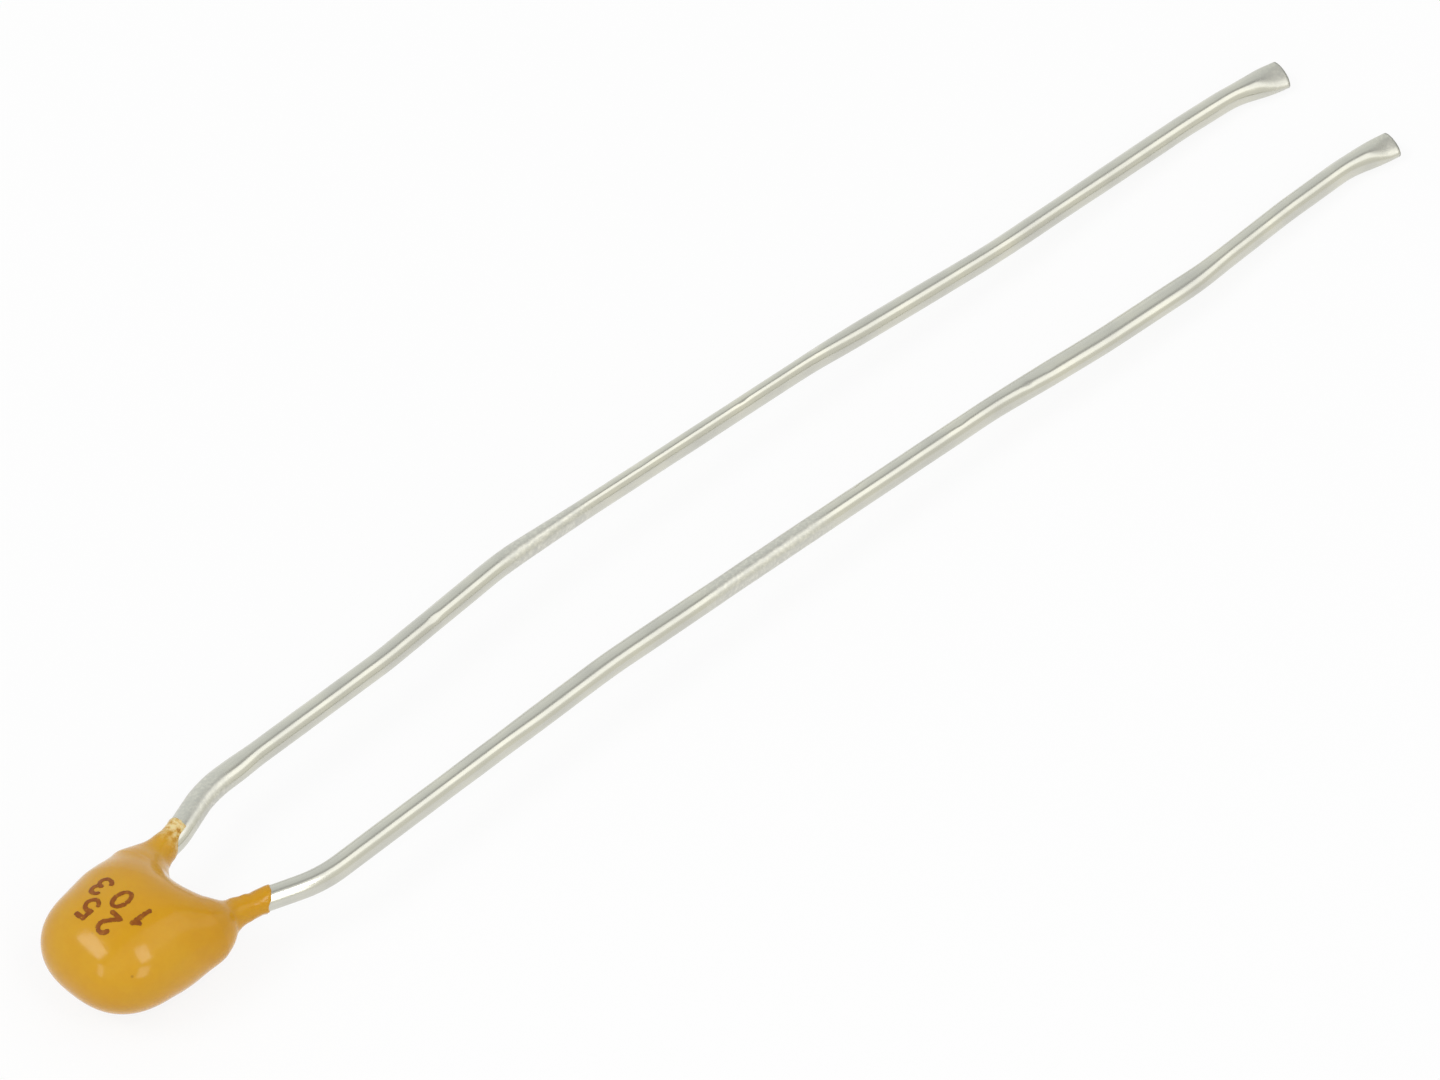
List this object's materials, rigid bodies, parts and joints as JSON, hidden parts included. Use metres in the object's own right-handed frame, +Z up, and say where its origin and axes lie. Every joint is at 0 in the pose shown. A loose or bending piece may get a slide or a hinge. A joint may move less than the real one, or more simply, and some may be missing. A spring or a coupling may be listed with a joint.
{
  "type": "ceramic capacitor",
  "caption": "Radial-leaded multilayer ceramic capacitor: a chip in a dipped epoxy coat, with tinned wire leads formed apart and pinched at the tips.",
  "frame": {"origin": "midway between the two lead axes where they straighten after their flare, the plane that meets a circuit board", "axes": "+X along the leads from the coated body to the tips, +Y towards the left lead, +Z up, square to the broad side that the part lies on"},
  "size_m": [0.0345, 0.0046, 0.0022],
  "materials": {
    "coat": "glossy dipped epoxy, ochre yellow",
    "ceramic": "sintered, matte",
    "electrode": "fired nickel",
    "termination": "tin plated, dull",
    "solder": "solidified solder, satin",
    "lead_wire": "hot tinned, bright with fine handling marks"
  },
  "bodies": {
    "root": {"coating": "coat", "ceramic_chip": "ceramic", "electrodes_left": "electrode", "electrodes_right": "electrode", "termination_left": "termination", "termination_right": "termination", "solder_left": "solder", "solder_right": "solder", "lead_left": "lead_wire", "lead_right": "lead_wire"}
  },
  "joints": []
}
